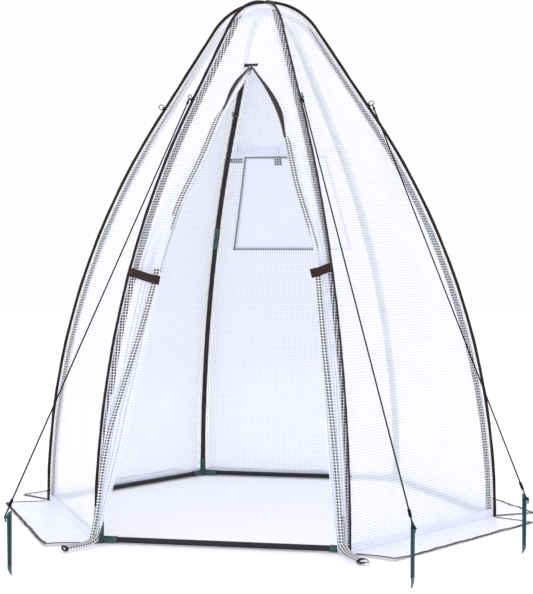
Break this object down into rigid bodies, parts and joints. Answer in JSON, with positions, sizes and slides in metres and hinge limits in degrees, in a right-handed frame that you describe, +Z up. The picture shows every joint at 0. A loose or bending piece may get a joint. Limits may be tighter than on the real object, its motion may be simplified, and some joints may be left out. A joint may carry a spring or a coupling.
{
  "type": "mini greenhouse",
  "caption": "Pointed hexagonal walk-up mini greenhouse: clear reinforced cover on a push-fit tube frame, zipped door tied open, back window, ground skirts, guy ropes and stakes.",
  "frame": {"origin": "on the ground at the centre of the six-sided base, which is the centre of the bounding box of everything but the ropes and stakes", "axes": "+Z up, -Y out of the zipped door side, +X to the right for someone facing the door"},
  "size_m": [1.641, 1.788, 1.5636],
  "materials": {
    "tube": "satin black powder coat",
    "fitting": "moulded dark green",
    "cover": "clear reinforced film with a woven white grid",
    "binding": "dark brown woven tape",
    "webbing": "black webbing",
    "zip_metal": "plated",
    "screen": "fine insect mesh",
    "rope": "twisted dark cord",
    "stake": "moulded dark teal"
  },
  "bodies": {
    "greenhouse": {"base_tube_1": "tube", "base_tube_2": "tube", "base_tube_3": "tube", "base_tube_4": "tube", "base_tube_5": "tube", "base_tube_6": "tube", "corner_fitting_1": "fitting", "corner_fitting_2": "fitting", "corner_fitting_3": "fitting", "corner_fitting_4": "fitting", "corner_fitting_5": "fitting", "corner_fitting_6": "fitting", "cover_back": "cover", "cover_back_left": "cover", "cover_back_right": "cover", "cover_front": "cover", "cover_front_left": "cover", "cover_front_right": "cover", "crown_patch": "binding", "frame_ties": "webbing", "guy_loops": "webbing", "guy_rope_front": "rope", "guy_rope_left": "rope", "guy_rope_right": "rope", "hub": "fitting", "rib_lower_1": "tube", "rib_lower_2": "tube", "rib_lower_3": "tube", "rib_lower_4": "tube", "rib_lower_5": "tube", "rib_lower_6": "tube", "rib_sleeves": "fitting", "rib_upper_1": "tube", "rib_upper_2": "tube", "rib_upper_3": "tube", "rib_upper_4": "tube", "rib_upper_5": "tube", "rib_upper_6": "tube", "seam_bindings": "binding", "stake_front": "stake", "stake_left": "stake", "stake_right": "stake", "window_band": "cover", "window_screen": "screen", "window_ties": "binding", "zip_top_patch": "binding"},
    "door_leaf_left": {"door_leaf_left": "cover"},
    "door_leaf_right": {"door_leaf_right": "cover"},
    "door_tie_left": {"door_tie_left": "binding"},
    "door_tie_right": {"door_tie_right": "binding"},
    "door_upper_left": {"door_upper_left": "cover"},
    "door_upper_right": {"door_upper_right": "cover"},
    "skirt_back": {"skirt_back": "cover"},
    "skirt_back_left": {"skirt_back_left": "cover"},
    "skirt_back_right": {"skirt_back_right": "cover"},
    "skirt_front_left": {"skirt_front_left": "cover"},
    "skirt_front_right": {"skirt_front_right": "cover"},
    "window_flap": {"window_flap": "cover"},
    "zip_pull": {"zip_pull": "zip_metal"},
    "zip_slider": {"zip_slider": "zip_metal"}
  },
  "joints": [
    {"name": "door_left_close", "type": "hinge", "parent": "greenhouse", "child": "door_leaf_left", "pos_m": [-0.42, -0.55, 1.74373], "axis": [0, -1, 0], "range_deg": [0, 10.51]},
    {"name": "door_right_close", "type": "hinge", "parent": "greenhouse", "child": "door_leaf_right", "pos_m": [0.42, -0.55, 2.93978], "axis": [0, 1, 0], "range_deg": [0, 6.24]},
    {"name": "door_upper_left_close", "type": "hinge", "parent": "greenhouse", "child": "door_upper_left", "pos_m": [0, -0.21062, 1.338], "axis": [0, -0.9052, 0.425], "range_deg": [0, 15.21]},
    {"name": "door_upper_right_close", "type": "hinge", "parent": "greenhouse", "child": "door_upper_right", "pos_m": [0, -0.21062, 1.338], "axis": [0, 0.9052, -0.425], "range_deg": [0, 19.87]},
    {"name": "door_tie_left_release", "type": "hinge", "parent": "greenhouse", "child": "door_tie_left", "pos_m": [-0.2835, -0.505, 0.742], "axis": [0, 0, -1], "range_deg": [0, 80]},
    {"name": "door_tie_right_release", "type": "hinge", "parent": "greenhouse", "child": "door_tie_right", "pos_m": [0.2835, -0.505, 0.757], "axis": [0, 0, 1], "range_deg": [0, 80]},
    {"name": "zip_slide", "type": "slide", "parent": "greenhouse", "child": "zip_slider", "axis": [0, -0.5, -0.866], "range_m": [0, 0.12]},
    {"name": "zip_pull_swing", "type": "hinge", "parent": "zip_slider", "child": "zip_pull", "pos_m": [0, -0.22338, 1.3347], "axis": [-1, 0, 0], "range_deg": [0, 120]},
    {"name": "window_flap_lift", "type": "hinge", "parent": "greenhouse", "child": "window_flap", "pos_m": [0, 0.34142, 1.1095], "axis": [1, 0, 0], "range_deg": [0, 120]},
    {"name": "skirt_front_right_lift", "type": "hinge", "parent": "greenhouse", "child": "skirt_front_right", "pos_m": [0.52673, -0.30411, 0], "axis": [-0.5, -0.866, 0], "range_deg": [0, 85]},
    {"name": "skirt_back_right_lift", "type": "hinge", "parent": "greenhouse", "child": "skirt_back_right", "pos_m": [0.52673, 0.30411, 0], "axis": [0.5, -0.866, 0], "range_deg": [0, 85]},
    {"name": "skirt_back_lift", "type": "hinge", "parent": "greenhouse", "child": "skirt_back", "pos_m": [0, 0.60822, 0], "axis": [1, 0, 0], "range_deg": [0, 85]},
    {"name": "skirt_back_left_lift", "type": "hinge", "parent": "greenhouse", "child": "skirt_back_left", "pos_m": [-0.52673, 0.30411, 0], "axis": [0.5, 0.866, 0], "range_deg": [0, 85]},
    {"name": "skirt_front_left_lift", "type": "hinge", "parent": "greenhouse", "child": "skirt_front_left", "pos_m": [-0.52673, -0.30411, 0], "axis": [-0.5, 0.866, 0], "range_deg": [0, 85]}
  ],
  "couplings": [
    {"joint": "zip_slide", "follows": "door_left_close", "m_per_rad": 0.65146},
    {"joint": "door_upper_left_close", "follows": "door_left_close", "ratio": 1.4465},
    {"joint": "door_upper_right_close", "follows": "door_right_close", "ratio": 3.1826}
  ]
}
